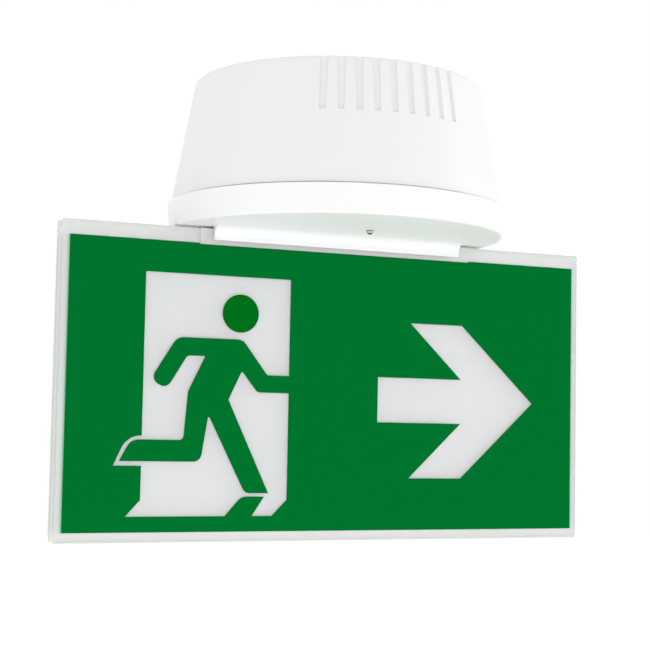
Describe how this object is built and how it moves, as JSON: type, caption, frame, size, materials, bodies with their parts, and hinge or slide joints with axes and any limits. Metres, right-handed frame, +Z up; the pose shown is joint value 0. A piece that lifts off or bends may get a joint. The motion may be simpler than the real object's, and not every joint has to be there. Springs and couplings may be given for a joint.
{
  "type": "ceiling emergency exit light with hanging sign blade",
  "caption": "Round white ceiling housing with nine front grooves that carries an edge-lit clear acrylic sign blade, green running figure in a doorway and arrow, on both sides.",
  "frame": {"origin": "centre of the ceiling face, midway between the two ceiling screw slots", "axes": "+Z up into the ceiling, blade along X, front legend faces -Y"},
  "size_m": [0.308, 0.1856, 0.2487],
  "materials": {
    "plated_steel": "zinc plated",
    "black_rubber": "matt",
    "cream_nylon": "moulded",
    "zinc_screws": "zinc plated",
    "white_housing": "fine satin moulding",
    "white_cover": "satin moulding",
    "white_tray": "moulded",
    "circuit_board": "solder mask",
    "transformer_core": "ferrite and yellow tape",
    "capacitor_can": "sleeved can",
    "white_connectors": "moulded",
    "fuse_holder": "glass tube and clips",
    "battery_wrap": "heat-shrink sleeve",
    "black_nylon": "moulded",
    "aluminium_rail": "mill finish",
    "white_led_board": "white solder mask",
    "led_package": "phosphor",
    "clear_led": "clear epoxy",
    "guide_acrylic": "clear acrylic",
    "white_tape": "reflecting tape",
    "diffuser_film": "opal film",
    "green_film": "printed film",
    "clear_acrylic": "polished acrylic"
  },
  "bodies": {
    "root": {"mounting_plate": "plated_steel", "cable_grommet": "black_rubber", "terminal_block": "cream_nylon", "terminal_screws": "zinc_screws", "housing_shell": "white_housing", "housing_screws": "zinc_screws", "lower_cover": "white_cover", "gear_tray": "white_tray", "tray_screws": "zinc_screws", "control_board": "circuit_board", "board_screws": "zinc_screws", "transformer": "transformer_core", "capacitors": "capacitor_can", "board_connectors": "white_connectors", "fuse": "fuse_holder", "battery_pack": "battery_wrap", "battery_straps": "black_nylon", "led_rail": "aluminium_rail", "rail_screws": "zinc_screws", "led_board": "white_led_board", "led_chips": "led_package", "status_led": "clear_led", "status_holder": "black_nylon", "indicator_board": "circuit_board", "light_guide": "guide_acrylic", "edge_tape": "white_tape", "front_diffuser": "diffuser_film", "back_diffuser": "diffuser_film", "front_legend": "green_film", "back_legend": "green_film", "front_cover": "clear_acrylic", "back_cover": "clear_acrylic", "blade_screws": "zinc_screws", "blade_nuts": "zinc_screws"}
  },
  "joints": []
}
